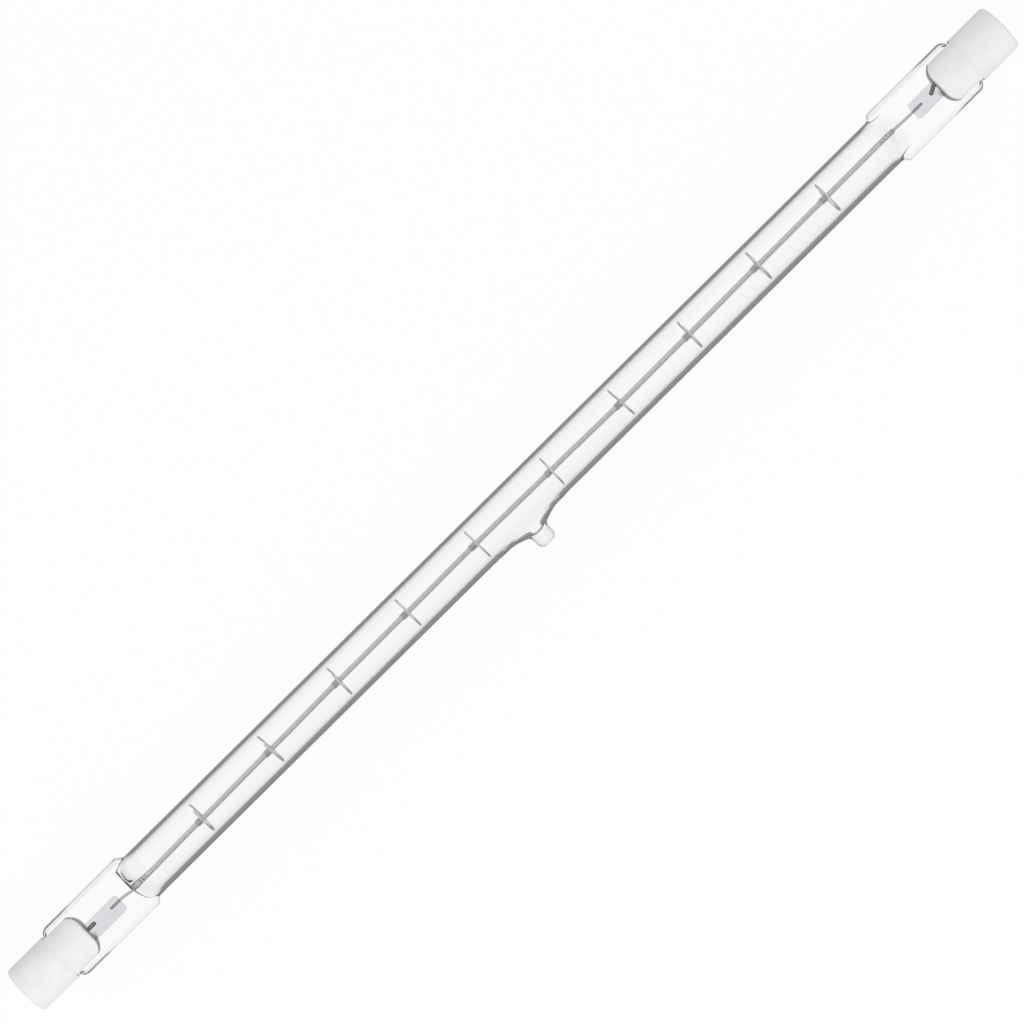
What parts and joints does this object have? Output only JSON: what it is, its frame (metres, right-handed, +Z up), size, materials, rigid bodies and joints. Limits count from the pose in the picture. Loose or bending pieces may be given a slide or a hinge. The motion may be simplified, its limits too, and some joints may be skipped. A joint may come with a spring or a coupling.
{
  "type": "linear halogen bulb",
  "caption": "Double-ended tubular halogen lamp: clear quartz tube with a long coiled filament, flat pinch seals and slotted ceramic end caps with recessed contacts.",
  "frame": {"origin": "on the tube's axis, midway between the two ends", "axes": "+X along the tube's axis, +Z up from the surface that the lamp lies on, exhaust tip towards -Y and down"},
  "size_m": [0.189, 0.011, 0.0074],
  "materials": {
    "quartz": "clear polished",
    "tungsten": "dull drawn wire",
    "support_wire": "dull drawn wire",
    "molybdenum": "drawn wire",
    "foil": "rolled foil",
    "ceramic": "matt fired",
    "cement": "rough set paste",
    "contact_metal": "plated"
  },
  "bodies": {
    "root": {"quartz_envelope": "quartz", "filament": "tungsten", "filament_support_01": "support_wire", "filament_support_02": "support_wire", "filament_support_03": "support_wire", "filament_support_04": "support_wire", "filament_support_05": "support_wire", "filament_support_06": "support_wire", "filament_support_07": "support_wire", "filament_support_08": "support_wire", "filament_support_09": "support_wire", "filament_support_10": "support_wire", "left_inner_lead": "molybdenum", "left_outer_lead": "molybdenum", "left_foil": "foil", "left_ceramic_cap": "ceramic", "left_cement": "cement", "left_contact": "contact_metal", "right_inner_lead": "molybdenum", "right_outer_lead": "molybdenum", "right_foil": "foil", "right_ceramic_cap": "ceramic", "right_cement": "cement", "right_contact": "contact_metal"}
  },
  "joints": []
}
